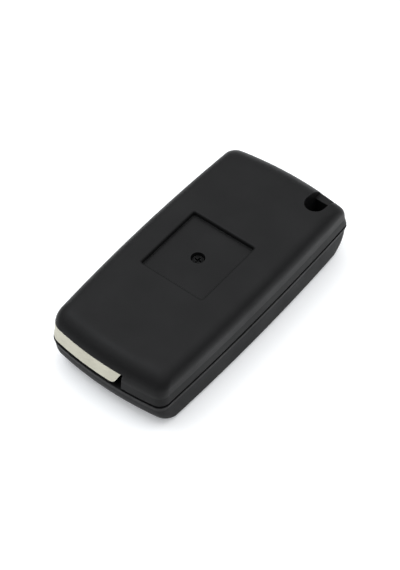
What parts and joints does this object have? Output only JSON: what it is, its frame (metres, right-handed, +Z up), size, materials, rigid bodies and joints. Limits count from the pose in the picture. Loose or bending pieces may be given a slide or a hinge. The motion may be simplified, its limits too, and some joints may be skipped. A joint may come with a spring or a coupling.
{
  "type": "key fob shell",
  "caption": "Folding car key fob shell: moulded case halves round a hinged head with a flip-out blade blank, release button, press keys, badge recess and key ring hole.",
  "frame": {"origin": "middle of the case, on the surface that its button face lies on", "axes": "+X along the case from the hinge end to the key ring end, +Y towards the side that the blade folds into, +Z up through the back cover"},
  "size_m": [0.068, 0.0333, 0.0158],
  "materials": {
    "case_plastic": "fine moulded texture with a soft sheen",
    "black_steel": "black oxide",
    "acetal": "turned, natural white",
    "silicone": "matt moulded silicone",
    "spring_steel": "bright drawn",
    "plated_zinc": "satin plated zinc casting",
    "blade_steel": "milled and tumbled",
    "button_plastic": "satin moulding",
    "key_plastic": "satin moulding"
  },
  "bodies": {
    "case": {"back_cover": "case_plastic", "front_cover": "case_plastic", "case_screw": "black_steel", "spring_cap": "acetal", "button_mat": "silicone", "positive_battery_clip": "spring_steel", "negative_battery_clip": "spring_steel"},
    "head": {"flip_head": "plated_zinc", "key_blade": "blade_steel", "blade_roll_pin": "spring_steel", "flip_spring": "spring_steel"},
    "release_button": {"release_button": "button_plastic"},
    "lock_key": {"lock_key": "key_plastic"},
    "boot_key": {"boot_key": "key_plastic"},
    "unlock_key": {"unlock_key": "key_plastic"}
  },
  "joints": [
    {"name": "head_flip", "type": "hinge", "parent": "case", "child": "head", "pos_m": [-0.0255, 0.005, 0], "axis": [0, 0, 1], "range_deg": [0, 180]},
    {"name": "release_press", "type": "slide", "parent": "head", "child": "release_button", "axis": [0, 0, 1], "range_m": [0, 0.0018], "stiffness_N_per_m": 800, "springref_m": -0.0002, "deforming": ["flip_spring"]},
    {"name": "lock_key_press", "type": "slide", "parent": "case", "child": "lock_key", "axis": [0, 0, 1], "range_m": [0, 0.0005], "stiffness_N_per_m": 2000, "springref_m": -0.0001},
    {"name": "boot_key_press", "type": "slide", "parent": "case", "child": "boot_key", "axis": [0, 0, 1], "range_m": [0, 0.0005], "stiffness_N_per_m": 2000, "springref_m": -0.0001},
    {"name": "unlock_key_press", "type": "slide", "parent": "case", "child": "unlock_key", "axis": [0, 0, 1], "range_m": [0, 0.0005], "stiffness_N_per_m": 2000, "springref_m": -0.0001}
  ]
}
